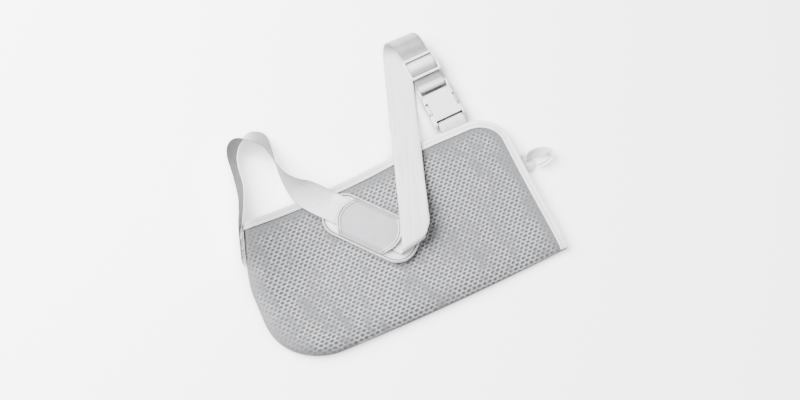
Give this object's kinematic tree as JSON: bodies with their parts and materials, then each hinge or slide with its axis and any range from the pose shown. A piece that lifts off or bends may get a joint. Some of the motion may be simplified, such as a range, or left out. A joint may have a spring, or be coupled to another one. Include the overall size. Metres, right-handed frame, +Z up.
{
  "type": "arm sling",
  "caption": "Mesh forearm pouch with a webbing shoulder strap, sliding shoulder pad, strap slider, side-release buckle and thumb loop, lying flat and closed.",
  "frame": {"origin": "middle of the back panel's underside, which lies on the table", "axes": "+X along the pouch to the hand end, +Y to the open top edge, +Z up through the front panel"},
  "size_m": [0.4441, 0.3671, 0.0485],
  "materials": {
    "mesh_fabric": "open knitted spacer mesh",
    "binding_tape": "folded binding tape",
    "webbing": "smooth woven webbing",
    "pad_fabric": "soft foam-backed cloth",
    "cover_fabric": "smooth cloth",
    "buckle_plastic": "satin moulded"
  },
  "bodies": {
    "pouch": {"pouch_front_panel": "mesh_fabric", "pouch_back_panel": "mesh_fabric", "front_binding": "binding_tape", "back_binding": "binding_tape", "strap_elbow_loop": "webbing", "strap_pad_run": "webbing", "strap_front_run": "webbing", "strap_top_turn": "webbing", "buckle_female": "buckle_plastic", "buckle_tab": "webbing"},
    "shoulder_pad": {"pad_base": "pad_fabric", "pad_edging": "binding_tape", "pad_cover": "cover_fabric", "pad_cover_left_hem": "binding_tape", "pad_cover_right_hem": "binding_tape"},
    "male_buckle": {"buckle_male": "buckle_plastic", "strap_buckle_loop": "webbing"},
    "left_latch": {"buckle_left_latch_arm": "buckle_plastic"},
    "right_latch": {"buckle_right_latch_arm": "buckle_plastic"},
    "strap_slider": {"slider": "buckle_plastic", "strap_slider_weave": "webbing"},
    "thumb_loop": {"thumb_loop_tab": "binding_tape", "thumb_loop_ribbon": "binding_tape"}
  },
  "joints": [
    {"name": "pad_slide", "type": "slide", "parent": "pouch", "child": "shoulder_pad", "axis": [0.6428, -0.766, 0], "range_m": [0, 0.01]},
    {"name": "buckle_release", "type": "slide", "parent": "pouch", "child": "male_buckle", "axis": [-0.0332, 0.9995, 0], "range_m": [0, 0.036], "deforming": ["strap_top_turn", "buckle_left_latch_arm", "buckle_right_latch_arm"]},
    {"name": "left_latch_squeeze", "type": "hinge", "parent": "male_buckle", "child": "left_latch", "pos_m": [0.12287, 0.16604, 0.0086], "axis": [0, 0, 1], "range_deg": [0, 9], "stiffness_Nm_per_rad": 1.5},
    {"name": "right_latch_squeeze", "type": "hinge", "parent": "male_buckle", "child": "right_latch", "pos_m": [0.14925, 0.16692, 0.0086], "axis": [0, 0, -1], "range_deg": [0, 9], "stiffness_Nm_per_rad": 1.5},
    {"name": "slider_travel", "type": "slide", "parent": "male_buckle", "child": "strap_slider", "axis": [-0.0332, 0.9995, 0], "range_m": [0, 0.012], "deforming": ["strap_buckle_loop"]},
    {"name": "thumb_loop_swing", "type": "hinge", "parent": "pouch", "child": "thumb_loop", "pos_m": [0.2001, 0.027, 0.0036], "axis": [0, -1, 0], "range_deg": [0, 35]}
  ]
}
